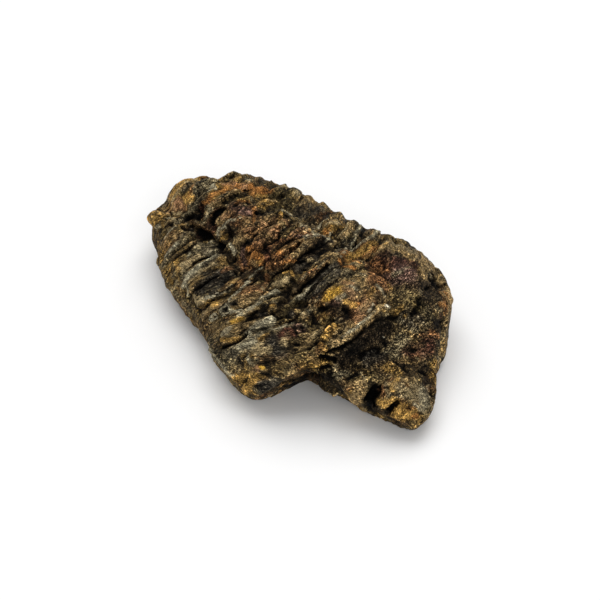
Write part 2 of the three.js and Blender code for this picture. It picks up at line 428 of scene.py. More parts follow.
# The crust along the middle of the back.
BACK_CRUST = """
rust 15 35 0 245,215 262,235 285,255
tan 3 70 5 219,222 226,214 232,213
purple 5 70 0 236,209 246,210
slate 2 70 0 247,215 250,217
rust 2.5 80 5 250,205 255,212
orange 1.6 80 0 236,203 240,200 248,201
black 1.8 90 -20 233,206 237,204
black 1.8 90 -20 247,202 250,205
black 2.6 95 -25 256,214 261,213
gold 2.4 80 5 259,205 262,201 268,200
moss 4 80 -10 266,205 272,210 277,206
tan 2 80 5 268,200 275,202
ash 3 70 0 266,213 273,216
gold 2.4 80 10 278,219 281,213
clay 1.2 80 5 282,210 288,213
moss 4 90 -20 285,217 290,221
clay 2 70 5 224,226 229,222 235,221
umber 4 85 -20 228,230 232,236
black 3 85 -35 227,228 230,238
ochre 1.8 80 0 222,236 226,239
tan 2.5 80 10 217,235 221,230
tan 5 60 5 238,240 247,234 256,231
clay 2.4 85 15 233,247 235,252
black 1.6 100 -30 243,245 246,242
orange 2.6 80 5 247,249 254,246
black 0.9 90 -15 245,249 249,254 255,251
orange 4 85 5 257,255 260,262
slate 3 85 -10 262,251 269,249
black 2 90 -30 267,259 264,262
black 1.2 90 -20 273,250 275,246
umber 3 70 0 242,252 245,260
rust 3 70 5 240,262 242,268
tan 3 60 0 262,222 270,228
umber 1.2 80 -10 252,226 257,224 262,220
umber 1 80 -10 262,238 270,234 276,233
rust 4 60 0 252,232 262,228
umber 1.2 90 -20 278,238 282,231 290,225
tan 2.4 80 15 280,237 288,231 296,224
black 1.2 100 -25 286,238 294,231
black 2 100 -40 297,226 299,228
sand 3.5 85 20 301,226 308,230
gold 1.6 80 0 308,229 310,232
purple 1.8 80 0 296,236 303,236
black 1.3 100 -25 280,247 288,242 296,239
orange 2.6 90 10 279,252 288,247 297,243
rust 2.4 80 0 274,255 282,253
gold 3.6 85 10 292,255 299,249 308,243
clay 3 80 10 309,238 318,236 325,238
clay 1.6 60 0 286,257 290,256
orange 2 80 5 276,264 286,262 295,260
tan 6 60 0 248,222 258,230 268,236
rose 5 60 5 264,224 274,232
tan 2.6 85 20 280,237 288,231 297,224
rose 2 80 10 292,236 300,229
black 0.9 95 -20 278,239 284,232 291,226
black 0.8 95 -20 262,230 268,226
black 0.9 95 -20 284,241 292,235 298,232
black 0.9 95 -20 252,240 262,238 272,238
black 1 95 -25 262,250 268,245 276,241
orange 3 90 10 280,253 288,247 298,243
sand 4.4 90 10 300,249 308,243
tan 3 80 0 292,256 300,253
clay 2.6 80 10 306,238 316,236 326,239
yellow 2.6 50 5 279,219 281,214
sand 1 90 10 283,211 289,213 292,216
black 1.2 90 -20 286,216 290,222
sand 3.4 85 10 280,186 288,186 295,188
black 1.4 90 -20 297,189 300,194
rose 3 70 5 223,218 229,214 234,213
clay 1.2 80 10 223,226 229,222 240,218
clay 1.4 90 15 219,235 221,229 226,226
umber 3.4 80 -30 228,229 232,236
black 1 90 -20 225,233 229,230 234,232 234,237
ochre 1.8 80 0 222,238 226,235
purple 5 70 0 243,212 249,212
black 0.7 70 -10 237,227 242,225 248,225
orange 1.8 70 0 254,207 255,216 252,224
ochre 3 70 0 264,206 272,204
black 2 90 -30 256,212 258,215
moss 3.4 80 -20 273,208 277,214
tan 4 60 0 265,218 274,217
gold 1.4 80 10 280,213 279,221
clay 1.1 90 15 282,212 287,213 291,217
rust 6 50 0 248,232 258,230
rose 1.4 70 5 244,232 254,228
olive 4 80 15 283,238 288,233 292,229
black 0.8 95 -30 277,238 281,232 286,228 292,225
black 0.9 95 -30 281,247 288,243 294,240 302,237
black 1 100 -30 296,224 298,227
rose 4 70 10 302,229 308,234
clay 0.9 90 10 300,226 305,229
clay 0.9 90 10 303,237 308,236
sand 1.2 80 10 304,232 309,228
clay 1.6 95 20 232,244 233,250 235,255
slate 2.6 80 -10 248,242 253,240
black 1.1 95 -30 244,244 247,242
purple 3 85 0 243,247 243,255 245,263
maroon 4.6 80 -15 267,249 267,258
black 1.4 90 -20 263,248 268,252 270,259
tan 3 70 5 252,262 257,265
gold 1.6 80 5 257,263 261,261
black 0.7 90 -25 247,256 251,252 255,249
orange 2.2 80 5 249,249 253,247
rust 2.6 80 15 279,257 286,250 293,244 298,241
ash 1.1 80 5 285,252 290,248
tan 2.4 80 20 289,258 298,251 306,245 312,241
tan 2 70 10 266,270 276,264 287,259
rose 4 50 0 256,244 262,242
brown 5 50 30 306,247 318,242 326,238
tan 5 50 10 268,228 278,224
umber 1.2 80 -20 262,232 268,240 264,246
ash 2.4 50 5 250,224 256,222
gold 2.6 60 10 214,200 220,194
tan 2 60 10 212,206 217,202
rust 2 70 10 292,246 300,241
orange 1.4 70 10 286,249 294,245
clay 1.4 60 10 282,231 287,227
tan 3 60 20 306,244 312,240
"""

# Deep gaps between the rings in front of the crust. Their black strokes are painted shade in the gaps.
RING_GAPS = """
black 4.4 95 -70 311,252 318,246 325,242
black 2 100 -40 299,259 306,253 312,249
black 1.8 100 -40 297,263 305,262
umber 3.5 80 -20 312,257 320,252
black 2.2 100 -50 304,270 312,267 320,261
sand 1.6 80 5 309,261 313,261
umber 6 75 -20 292,270 302,266
gold 1.6 90 5 284,272 287,271
gold 1.6 90 5 291,272 293,275
brown 3 85 25 301,279 310,274 319,268 328,259
tan 2.4 80 10 322,257 329,253 336,256
black 2.2 100 -70 299,291 306,286 314,280 322,272 327,266
black 1.6 100 -50 288,301 293,295 299,291
umber 3.5 90 -30 292,281 297,287
ash 3 85 30 293,303 300,296 310,288 320,281 330,276 338,271
clay 1.5 95 20 292,303 297,298 302,294 312,287
clay 1.2 80 10 326,272 332,268
slate 1.1 85 -15 318,292 326,284 336,276
ash 4 70 0 322,288 330,283 340,280
"""

# Cracks and the dark furrow beside the crust.
BACK_CRACKS = """
black 1.6 100 -50 234,272 239,276 243,271 249,268
umber 1.4 90 -20 249,268 256,270 264,265
black 1.7 100 -50 269,281 274,275 281,271 287,268
umber 4.5 80 -20 222,253 230,258 234,266
black 2.2 95 -50 235,259 235,265
rust 2 80 0 222,270 232,269
rust 2.6 80 20 267,276 266,284 263,290
black 0.9 90 -20 261,274 262,283
black 1.4 100 -30 270,283 268,290
sand 1.5 90 10 262,289 264,290
clay 1 90 10 245,283 251,277 256,271 261,267
black 1.3 100 -30 244,281 248,279
black 1.3 100 -30 252,285 258,279
sand 3 80 5 275,285 281,282 287,279
umber 1 90 -20 274,290 282,287 290,283
umber 5 80 -20 280,295 288,290 285,300
clay 1.7 85 15 262,300 270,295 279,292
rust 4 70 0 238,294 250,291 258,292
clay 1.2 95 15 235,294 241,288 247,283
black 1.1 95 -25 248,285 253,280 258,273
umber 4 80 -10 242,276 248,273
rust 4 80 0 268,266 280,262 288,258
slate 5 70 -10 300,268 308,264 316,260
sand 1.8 90 10 309,261 312,260
brown 2.4 80 -10 300,281 310,274 320,266
ash 1 80 10 302,279 308,274 316,269 326,260
rust 1.2 90 0 309,273 315,269
black 2.4 100 -20 300,290 308,284 314,280 319,275
slate 4 90 30 312,288 320,280 328,273 336,266
clay 2.2 95 25 292,303 296,300 300,297
clay 1 90 15 300,296 306,291 313,286
sand 3.6 80 10 273,286 280,283 286,281
umber 1 95 -20 270,291 280,288 288,284
clay 3 85 25 238,318 250,308 262,300 276,292
black 1.6 100 -40 262,304 270,300 279,297
black 5 80 -30 262,310 268,303
gold 3.6 90 30 272,307 272,310
umber 4 80 -20 282,304 290,302
olive 2.6 70 10 284,309 288,306
black 1.3 100 -30 276,320 284,317 291,315
clay 4 95 20 248,334 256,328 265,323 272,320
slate 3.4 80 -10 278,322 290,315 298,308
ash 3 80 10 266,335 280,329 293,324
ochre 3.4 85 5 158,229 157,240 158,252
clay 7 35 0 200,246 212,250
sand 6 40 0 186,264 200,262
"""

# The near ribs, tail end: grey light ribs and brown furrows.
NEAR_RIBS_BY_TAIL = """
ochre 3 70 0 159,240 160,252 162,262
tan 4 70 0 168,240 178,235
clay 2 70 15 164,238 169,232 175,227
umber 2 70 -20 166,226 171,224
ochre 1.6 80 0 166,245 170,240
clay 1.4 70 10 157,231 162,227 170,219
ochre 2.6 80 0 162,247 163,257
ash 4.4 90 25 164,264 167,256 174,247 183,240 192,235
clay 1.6 90 15 166,257 172,249 178,244
umber 2.6 95 -35 174,259 180,254 187,250 195,244 202,239
black 1.4 90 -20 183,251 188,249
ochre 1.4 80 0 167,267 172,261 179,257
sand 4 75 10 179,268 188,261 198,256
ash 5.5 85 10 194,253 203,248 212,245
clay 1.6 80 10 208,243 212,242
clay 1.4 70 0 188,257 189,253
umber 1 90 -20 184,278 190,269 197,262 203,258
tan 3 75 10 190,270 197,264 205,261
ochre 3 85 5 170,272 172,284
gold 2.8 70 5 176,262 178,270
clay 3 85 15 183,287 187,279 193,272 200,267
sand 2 70 0 199,272 208,266 215,262
slate 3 50 0 205,265 212,261
gold 2.4 80 10 178,289 181,297
slate 1.6 80 -15 184,291 185,297
umber 1.1 100 -30 187,270 193,265 200,260 210,256
clay 1.3 95 20 186,282 190,275 197,268 206,262 216,256
clay 1.8 85 10 185,281 187,288 188,294
tan 2.6 80 10 181,283 180,292 182,300
umber 1.6 90 -20 184,298 186,304
gold 2.2 70 5 170,265 169,270
ash 5 50 0 175,292 184,305 194,318
ash 3 60 0 163,272 170,284 178,296
"""

# Dark slate between the middle ribs.
DARK_SLATE = """
umber 1.3 95 -25 188,298 193,291 200,286 206,281
slate 4 90 -15 203,289 209,281 216,274 221,270
slate 5 90 -15 212,292 220,286 226,279
black 1.6 70 -10 204,293 212,292
sand 1.2 70 0 206,288 210,287
clay 1.5 85 15 203,300 212,298 221,293
brown 2.6 85 10 222,291 227,285 231,278
clay 1.4 90 15 228,302 234,296 242,288 250,282
sand 4 85 10 196,300 203,301
ochre 2.6 90 -5 200,309 206,305 211,300
umber 1.2 90 -20 194,299 195,306 200,312
gold 2.8 85 10 213,305 217,304
black 1 95 -20 213,311 221,307 228,301
clay 3.8 70 0 221,311 226,308
slate 2 90 -10 223,311 226,309
ash 2 80 0 230,303 235,300
clay 2.4 80 5 213,317 214,319
umber 1.1 95 -20 219,323 227,318 233,312
clay 2.2 80 10 231,311 238,312
tan 3 75 5 240,305 248,300 258,294
black 1.8 100 -35 189,297 192,292 200,287 208,281 220,273
clay 1.6 95 20 202,299 212,297 222,293 232,286
white 0.9 90 5 216,293 217.5,293
sand 2.6 90 15 196,298 198,304 204,300
umber 2 90 -25 200,311 207,307 214,301
ochre 3 80 10 213,304 220,301
clay 1 95 15 226,304 236,293 249,282
slate 4 85 0 207,274 217,271 227,275
slate 4.4 80 0 205,290 213,286 221,281
ash 1.4 60 5 206,291 212,289 217,286
rust 3 50 0 222,270 230,268
"""

# The near ribs, head end.
NEAR_RIBS_BY_HEAD = """
gold 2.4 70 0 234,322 241,319
tan 4 70 5 222,328 230,327
ash 3 60 0 227,334 232,336
umber 1.6 90 -25 240,327 246,321 254,314 262,305 270,300
umber 3.6 85 -20 250,318 258,313 266,307
black 2 90 -30 272,312 276,317
black 1.6 95 -40 266,300 275,297
sand 1.6 80 10 245,313 252,306 262,300
tan 2 80 10 272,309 276,309
moss 4.5 80 -10 284,313 292,308 298,302
black 1.6 90 -30 282,318 290,318
sand 4 85 10 254,332 261,326 269,320
clay 2 80 5 262,324 271,319
olive 3 80 0 279,323 287,322
ochre 2.6 85 0 257,341 263,338 267,335
gold 2.6 80 5 221,339 229,341 238,338
black 1.7 100 -50 222,348 232,344 240,339 246,335
umber 1.4 90 -20 240,334 245,329
clay 2.6 85 10 237,349 245,345 255,342
sand 3 75 5 254,348 261,345
ash 5 80 0 224,350 229,356 235,352
umber 2.4 80 -15 239,360 242,368
black 1.4 100 -30 243,358 247,354
ash 2.2 60 5 250,360 252,366
slate 4 90 -15 270,337 274,344 276,352
clay 1.4 80 10 272,330 282,328 292,324
umber 4 80 -20 266,363 273,359 270,369
clay 0.9 100 12 220,309 228,305 230,311 223,316 220,309
slate 1.8 95 -10 224,310 226,311
clay 0.9 100 12 210,317 216,313 218,318 212,321 210,317
slate 2.6 95 -25 232,303 236,303
clay 2 100 20 233,312 241,310
yellow 2.4 60 10 232,322 242,318
clay 3.4 60 5 222,334 229,328
ochre 2 85 5 222,341 234,339
clay 3 95 25 250,333 257,328 265,323 272,320
black 1.8 100 -50 221,347 232,344 240,341 246,336
black 1.2 100 -30 243,337 249,331
"""

# The near cheek and its point. The black and slate strokes along the cheek's lower edge are painted
# shade on its undercut wall.
NEAR_CHEEK = """
rose 2.6 70 0 253,371 258,369
yellow 2.2 100 5 260,368 263,368
ochre 5 90 5 233,377 240,385 247,392
ochre 3.4 90 5 246,378 254,376 260,377
umber 1 80 -15 246,374 243,381 241,387
ash 6.5 75 0 257,389 268,387 278,382
clay 1.1 60 5 262,384 270,381
clay 1.1 60 5 259,391 270,390
umber 3 85 -15 262,374 270,375
tan 3.4 60 5 284,376 292,370 297,374
ash 3 60 0 285,372 292,365
maroon 2.8 90 20 281,336 285,331 291,331 296,336
sand 3 80 15 283,340 286,344
black 2 100 -40 296,344 302,345
black 1.4 95 -30 295,331 298,337
umber 4 70 -15 289,347 294,352
purple 4 60 0 297,326 302,330
tan 3 70 10 303,334 310,337
olive 5 50 0 302,356 312,360
yellow 2.6 85 5 306,369 312,369
ochre 3.4 80 5 314,364 322,363 330,364
black 3.2 95 -50 279,386 289,383 299,378 307,374
black 2.6 100 -50 312,370 320,369 330,367
sand 4 70 5 256,352 268,350
clay 2 70 5 247,356 249,362
gold 0.9 90 5 243,365 245,371
gold 4.4 85 5 243,393 248,386 254,379
gold 2 80 5 232,378 244,376 256,375
umber 0.9 90 -20 240,390 243,383 247,377
slate 6 80 0 262,386 276,383
black 3 95 -30 280,385 290,382 300,378
olive 5 60 0 274,366 290,362
tan 1.8 80 10 292,368 296,375
ash 5 60 0 210,340 216,354 226,368
clay 1.2 60 10 212,350 222,364 234,376
ash 6 65 0 226,358 236,368
slate 3.4 60 0 233,352 240,360
olive 4 60 0 246,370 252,372
umber 1 90 -15 241,362 243,366
ash 3 50 0 250,364 256,360
clay 2.4 70 5 206,342 211,352 219,364 230,376
ash 1 80 10 214,352 222,362 232,372
olive 6 50 0 282,374 294,372
slate 6 85 0 262,388 274,386
black 5 95 0 282,388 296,383 309,376
brown 4 60 0 240,297 250,292
umber 1.4 90 -30 216,295 226,290 236,284
slate 3 60 0 262,316 272,312
clay 3 70 10 258,327 266,323
black 3.5 60 0 323,379 331,378 340,374
black 3 60 0 322,384 330,389 340,394
"""

# The middle of the head.
HEAD_MIDDLE = """
tan 6 75 5 342,283 350,288 357,293
gold 4.4 90 10 326,297 333,293 341,289
yellow 2 70 5 334,292 340,290
ash 3 70 0 349,292 352,294
ash 4 60 0 345,274 354,273 364,275
gold 2.4 90 5 303,315 306,311
sand 3 60 5 308,308 314,310
black 3.6 85 -35 320,310 326,307 330,304
umber 5 70 -15 336,307 344,310 348,314
black 2.4 80 -25 344,309 350,311
purple 3.4 60 0 330,301 338,302
rust 2 70 0 314,322 319,317
black 1.6 100 -35 311,326 314,321
sand 3 60 10 314,336 319,331
rose 6 75 5 358,318 362,309 369,301
orange 2.6 85 5 351,305 358,304
gold 1.8 70 5 352,307 356,307
gold 3.8 95 40 325,337 329,332 334,327
black 1.1 100 -40 323,333 325,326 330,321 335,320
gold 3.6 90 30 320,345 325,350
black 1.6 100 -40 309,349 314,346 319,343
tan 3.4 70 10 303,345 308,343
slate 4.6 85 5 306,297 316,290 326,281 336,272
ash 0.9 90 15 311,294 322,286 332,277 338,270
slate 1.2 90 -10 318,297 328,288 338,280
clay 1.6 90 15 299,299 306,293 312,287
yellow 4 85 5 328,297 335,294 342,290
yellow 2.2 90 5 330,293 338,289
ash 6 60 0 346,291 354,289
rose 2.4 60 0 344,283 352,284
gold 3 75 0 346,302 354,304
umber 5 80 -15 343,309 350,314
rust 4 50 0 354,312 358,322
tan 3 60 5 362,310 368,303 374,297
umber 2.4 80 -20 306,306 312,316 318,324
clay 3 60 5 303,314 308,311
tan 1.1 85 10 376,285 382,294 388,302
rose 4 60 0 345,290 353,294
clay 1.6 60 0 350,286 356,290
ochre 3 60 0 372,290 368,298
clay 3 50 0 338,299 344,296
umber 3 60 0 322,294 324,290
rust 3 50 0 322,346 318,352
brown 3 60 0 308,356 318,362
"""

# The far ribs next to the head.
FAR_RIBS_BY_HEAD = """
clay 1.3 95 25 312,233 318,227 326,220 335,216
sand 2.4 80 10 326,224 333,222 339,224
orange 2.8 90 -5 322,236 326,231 330,227
clay 1 90 15 329,240 331,235 334,230
umber 2.6 70 -10 334,235 338,229
gold 2.4 80 5 341,228 346,226
sand 1.4 95 30 331,245 338,238 345,231 352,225
tan 2.4 70 5 347,234 352,228
slate 4 90 -20 338,248 344,242 351,237
black 2 95 -30 335,248 339,246
clay 1.4 95 30 344,253 350,247 354,240 356,232 359,227
black 1.9 100 -40 351,248 356,243
slate 3.2 80 -15 360,235 363,229
ash 2.6 60 0 366,236 370,233
clay 1.7 100 30 357,248 364,243 371,238 378,234
umber 2 60 0 343,220 350,222
ochre 4.6 95 5 349,258 356,254 364,249 374,243
yellow 2.4 60 5 352,257 358,253
brown 3 70 0 380,240 388,239
orange 2.4 90 5 340,262 346,266 354,268
orange 1.8 80 0 352,259 360,262
black 1.1 100 -35 337,268 341,269 345,267
black 1 90 -20 366,262 371,266 375,269
ochre 5 70 -10 326,229 334,228
orange 2.4 70 0 324,229 327,232
tan 1.2 95 20 315,232 322,224 330,219 338,216
umber 1.6 80 -10 324,216 330,213 336,211
clay 0.8 90 10 330,232 329,238
tan 1.8 95 25 333,246 340,238 348,231 354,225
moss 3.6 85 -15 340,246 346,240 352,234
slate 2.4 60 -10 342,243 349,238
ash 3 50 10 356,238 358,231 361,226
clay 1 80 6 343,254 350,247 354,242
ash 1.3 60 0 353,243 355,236
black 1.4 100 -40 349,251 355,245 358,238
slate 3 80 -5 361,235 366,230
ash 3 50 10 366,241 374,236
clay 1.2 90 8 341,257 350,250 359,245
clay 1.2 60 0 359,245 367,240
ash 1.4 50 0 367,240 374,236
olive 3 0 -30 338,214 342,216
olive 3 0 -40 352,222 356,224
olive 3 0 -40 321,203 325,206
olive 3 0 -30 386,236 390,237
ochre 4 80 0 352,256 362,250 372,244
gold 2.4 70 5 353,256 358,254
olive 4 70 0 378,241 388,240
"""

# The far cheek: a purple-brown dome with a tan rim.
FAR_CHEEK = """
rust 9 75 0 380,266 384,272 378,278
purple 9 80 0 404,264 402,278
slate 5 60 0 388,254 398,254
clay 2.8 70 5 393,274 399,270 404,268
ash 2.6 60 0 407,264 412,263
tan 2 70 5 388,256 390,262
sand 4.4 80 10 394,245 403,247 411,253
gold 2 60 0 380,247 386,244
tan 3.6 85 10 421,268 424,276
tan 4.2 80 10 427,262 432,267
umber 3 60 0 416,262 417,270
rust 2 70 0 367,268 371,272
gold 2 60 0 388,286 390,290
maroon 8 75 0 384,258 398,262 412,264
purple 7 60 0 398,268 412,271
rust 6 60 10 374,262 382,270 388,276
purple 4 70 10 386,276 394,282
black 2.6 50 -10 382,255 396,253 404,257
ash 2.4 70 5 394,275 402,271
ash 1.2 70 5 406,268 412,266
tan 2.6 80 10 400,248 408,254 416,256
umber 6 60 10 398,282 404,292 402,300
"""

# Right of the head: grainy and dark, with a pale rim.
FRONT_SLOPE = """
olive 9 50 0 408,290 398,300
clay 1.2 70 10 376,286 381,291 385,296
black 2.6 95 -50 431,274 435,279 432,285 439,290
black 1.8 95 -40 424,290 429,287
black 1.6 90 -30 441,289 444,286
umber 4 80 -20 418,299 421,306 415,312
black 3 85 -40 418,298 419,306 412,314
tan 3.6 85 15 443,295 447,303
orange 3 60 5 441,305 445,306
maroon 2.6 70 -5 441,315 442,320
black 3.4 70 -20 437,325 443,322
tan 1.4 80 10 446,318 446,326
rust 3 90 0 431,333 437,336
gold 1.8 80 0 441,340 442,339
ochre 3 80 5 395,313 402,308
sand 2.2 85 10 386,318 388,315
white 1.6 90 10 386,306 388,307
ochre 1.6 70 0 404,317 406,315
umber 7 70 0 412,286 426,288
black 3 90 -30 429,279 434,287 442,287
moss 6 60 20 414,300 422,308 430,318
olive 1.2 80 10 408,290 416,297
tan 4 90 10 444,289 449,300 448,314 446,324
orange 1.6 70 0 443,300 444,308
"""

# The ledge across the front of the head. Its black strokes along the ledge's foot are painted shadow
# that the ledge casts.
HEAD_LEDGE = """
tan 2.8 90 25 332,345 340,339 350,333 359,327 367,320 375,312 381,306
tan 3 85 10 334,348 344,343 355,337
ash 1.8 80 10 348,333 356,329 364,322
umber 1.2 80 -20 372,309 368,316
clay 1.2 80 15 368,312 373,304
clay 1.2 70 5 342,338 352,331 362,323 374,312
black 2.4 100 -80 328,354 338,349 348,344 357,338 364,331
black 3.2 100 -80 322,358 330,360 336,361
black 3 85 -40 366,328 376,322 386,319 396,318
brown 4 45 0 328,327 333,338
brown 3 40 0 318,347 326,350
"""

# The hollow under the ledge. Its black strokes just under the ledge are painted shadow that the ledge
# casts, and its small black strokes are painted shade in pits.
HOLLOW = """
umber 11 70 0 345,358 362,346 385,332
black 7 60 0 350,352 365,342 385,328
black 4 90 -40 362,356 370,353 378,351
slate 3 70 0 371,354 376,353
black 3 80 -20 383,340 386,346
slate 5 60 0 366,364 375,360 384,356
white 0.7 60 0 383,337 384,338
ash 6.5 60 5 394,354 399,346 403,341
maroon 6 75 -10 406,352 417,349 430,345
maroon 3 80 -10 424,342 430,340
black 2.6 90 -30 410,350 414,350
rust 2.6 70 0 412,357 418,358
sand 1.5 90 5 416,358 418,359
black 2.6 90 -35 403,366 407,371
black 3 85 -35 420,372 425,374
black 2 80 -20 394,362 399,366
ochre 3 70 5 384,368 390,372
rust 2 60 0 393,379 389,381
ochre 2.8 85 10 434,362 436,370 434,376
umber 2 70 -10 427,355 429,360
umber 6 70 0 408,347 420,346
brown 4 40 0 410,346 420,344
umber 7 60 0 404,362 420,364
ochre 5 50 0 388,366 398,374
rust 2.4 60 0 420,336 430,336
black 4 60 -10 346,354 356,350
umber 4 45 0 423,337 433,341
"""

# The front lump, with three clefts. The black strokes in the clefts and along its lower edges are
# painted shade.
FRONT_LUMP = """
black 5 90 -40 316,376 323,376 330,374
ochre 3 75 10 323,384 326,390
umber 4 80 -20 330,382 340,384
black 2.4 90 -35 329,381 333,379
black 1.6 85 -20 338,390 342,392
white 1.3 90 10 334,389 335,389
ash 4 70 10 337,375 346,374
black 2.6 90 -30 347,379 353,376 358,373
rust 2.4 60 0 347,390 351,388
tan 6 85 15 359,385 360,394 354,400
olive 4 60 5 351,402 358,404
sand 2 60 0 364,383 366,386
black 5 95 -70 376,390 371,397 369,404
umber 4 85 -30 374,408 380,412
gold 4 90 25 380,402 385,405 392,402
rust 2.4 80 10 382,388 384,395
rust 2 70 0 380,391 382,394
black 1.6 90 -20 386,388 388,388
black 3.2 95 -60 397,404 392,409 387,414
gold 3.4 90 25 399,405 398,411 396,416
gold 4.6 85 10 403,415 410,414
orange 2.4 85 5 413,417 417,416
rust 2.2 60 -10 409,408 416,407
umber 1 90 -15 395,423 402,420 407,419
gold 2.6 80 10 393,390 396,383 398,380
ash 7 55 0 404,391 414,398
sand 2 90 10 412,386 415,387
umber 1 90 -20 411,386 412,386
orange 1.4 70 0 407,385 409,387
moss 1.6 80 -15 403,393 408,394
ash 6 60 0 424,394 426,404
clay 1.6 70 5 415,404 421,410
moss 2 85 -30 431,389 432,395
umber 2.4 70 -10 424,383 433,381
brown 2.4 70 0 399,425 408,425
umber 5 85 0 316,380 324,387 336,394
black 3 70 0 316,378 324,384
brown 4 60 0 344,382 352,386
tan 6 85 20 355,402 358,394 362,386
olive 3 70 0 352,402 360,407
black 5 95 -50 373,394 369,403 368,409
black 4.4 95 -20 366,407 374,413 384,417
umber 5 85 0 324,388 334,393 344,399
black 2 80 -20 330,390 340,396
black 3 95 -40 398,403 391,409 385,415
clay 7 55 0 424,392 424,404
sand 4 60 5 398,386 408,392
umber 2 90 -10 390,419 399,423 408,422
umber 3 40 -60 344,402 354,409 364,413 376,418 388,422
"""

# Late stains, thin and laid over the rest.
LATE_STAINS = """
orange 3 60 0 212,200 218,194 225,190
tan 2.2 50 0 215,206 222,199 227,197
tan 2.6 55 10 283,250 292,245 302,240
rose 2 55 0 287,253 297,247 309,242
brown 2.6 50 0 300,247 311,241 318,240
rust 3 45 0 253,245 262,249
rose 3.4 45 0 270,223 279,217 289,224
clay 2.4 60 10 255,332 263,327 270,323
umber 2 40 0 262,318 272,314
umber 3.6 40 0 204,253 212,247 218,259
gold 2.2 60 0 303,371 310,370 318,368
brown 2.6 40 0 243,300 252,294
ochre 3.6 45 0 240,379 248,386
gold 2.6 60 10 393,398 399,404
"""

MARKS = (
    OUTLINE_SWELLS + BROAD_STAINS_AND_SHADE + TAIL_CLAY + TAIL_TAB + BIG_HOLES + ORANGE_BANDS +
    FAR_SIDE_BY_TAIL + BACK_CRUST + RING_GAPS + BACK_CRACKS + NEAR_RIBS_BY_TAIL + DARK_SLATE +
    NEAR_RIBS_BY_HEAD + NEAR_CHEEK + HEAD_MIDDLE + FAR_RIBS_BY_HEAD + FAR_CHEEK + FRONT_SLOPE +
    HEAD_LEDGE + HOLLOW + FRONT_LUMP + LATE_STAINS
)

# A place just beside the stone is moved onto it, from less than this many pixels away. One pixel
# is this many millimetres where the camera aims. The points are shifted a little, in coarse and fine
# waves, so that no stroke is quite straight.
FARTHEST_MISS = 12
PIXEL = CAMERA_DISTANCE * SENSOR_WIDTH / CAMERA_LENS / VIEW_PIXELS / MM
shifted = points + 0.18 * pushes(1.3, seed=20)
shifted += 0.10 * pushes(0.5, seed=30)


def seen_at(right, down):
    """Where the stone shows at a place in the view, or at the nearest place where it shows."""
    for reach in range(FARTHEST_MISS):
        for turn in np.linspace(0, 2 * math.pi, max(1, 8 * reach), endpoint=False):
            aim = Vector((right + reach * math.cos(turn), -down - reach * math.sin(turn), 0))
            aim = (aim / VIEW_PIXELS - Vector((0.5, -0.5, 0))) * SENSOR_WIDTH / CAMERA_LENS
            aim.z = -1
            hit, spot, _, _ = stone.ray_cast(camera_place, camera_turn @ aim)
            if hit:
                return np.array(spot) / MM


def distance_to(route):
    """Distance from each shifted point of the skin to a line through the route's places."""
    corners = [seen_at(*map(float, place.split(","))) for place in route]
    nearest = np.full(len(points), np.inf)
    for start, end in zip(corners, corners[1:]):
        step = end - start
        t = np.clip(((shifted - start) @ step) / max(step @ step, 1e-9), 0, 1)
        nearest = np.minimum(nearest, np.linalg.norm(shifted - start - t[:, None] * step, axis=1))
    return nearest


def zone(half_width, route):
    """1 within so many millimetres of a route, with a soft and uneven edge."""
    return 1 - smooth(distance_to(route.split()) / half_width + 0.5 * blots[2], 0.7, 1.3)


# The middle of the back is crusty, and the hollow, the far cheek and the front lump are gritty.
BACK_ZONE = "246,198 266,220 297,245"
HEAD_CRUST_ZONE = "301,321 334,324"
HOLLOW_ZONE = "344,360 374,358 415,333 438,348"
FAR_CHEEK_ZONE = "403,287 423,297"
FRONT_ZONE = "418,375 432,373"
crusty = np.maximum(zone(4.0, BACK_ZONE), zone(2.8, HEAD_CRUST_ZONE))
gritty = np.maximum(zone(4.0, HOLLOW_ZONE), zone(3.0, FAR_CHEEK_ZONE))
gritty = np.maximum(gritty, 0.6 * zone(2.0, FRONT_ZONE))

# The stone breaks into plates between cracks. Each plate has a tone of its own, drawn from where its
# middle is, with the middles spread out so that neighbours differ.
PLATE_LENGTH = 1.3
PLATE_WIDTH = 2.2
PLATE_SPREAD = 7.3
plate_places = np.column_stack((
    rib_place / PLATE_LENGTH, across / PLATE_WIDTH, points[:, 2] / PLATE_WIDTH
))
plate_places += 0.35 * pushes(0.9, seed=70)
plates = [noise.voronoi(place) for place in plate_places.tolist()]
plate_edge = np.array([spans[1] - spans[0] for spans, _ in plates])
plate_tone = np.array([noise.cell(spots[0] * PLATE_SPREAD) for _, spots in plates])
crack = 1 - smooth(plate_edge, 0.03, 0.16)

# Uneven stains lie under the strokes: a colour, how well it covers, and the noise that it follows,
# from where it starts to where it is full.
UNEVEN_STAINS = (
    ("tan", 0.7, blots[0] + 0.4 * blots[2], 0.0, 0.3),
    ("umber", 0.6, blots[1] + 0.5 * blots[3], 0.0, 0.35),
    ("rust", 0.5, -blots[0] + 0.5 * blots[2], 0.15, 0.4),
    ("ochre", 0.5, -blots[1] - 0.5 * blots[3], 0.2, 0.4),
    ("ash", 0.7, blots[2] + 0.5 * blots[3], 0.25, 0.45),
    ("umber", 0.5, -blots[2] + 0.5 * blots[4], 0.35, 0.5),
)
tone = linear("olive")[None, :] * np.ones((len(points), 1))


def lay(colour, cover):
    """Lays a colour over the stone's tone."""
    tone[:] = tone * (1 - cover[:, None]) + linear(colour)[None, :] * cover[:, None]


for colour, cover, pattern, start, full in UNEVEN_STAINS:
    lay(colour, cover * smooth(pattern, start, full))

# The rib ends run on down the far flank as pale crests with dark furrows between.
FAR_FLANK_ACROSS = 7, 10
BEHIND_NECK = 0.0, 1.5
far_flank = flank * smooth(across, *FAR_FLANK_ACROSS) * smooth(NECK - rib_place, *BEHIND_NECK)
rib_crest = np.cos(2 * np.pi * (rib_place - NECK) / RIB_PITCH) + 0.6 * blots[1]
lay("tan", 0.55 * far_flank * smooth(rib_crest, 0.1, 0.8))
lay("umber", 0.6 * far_flank * smooth(-rib_crest, 0.3, 0.9))
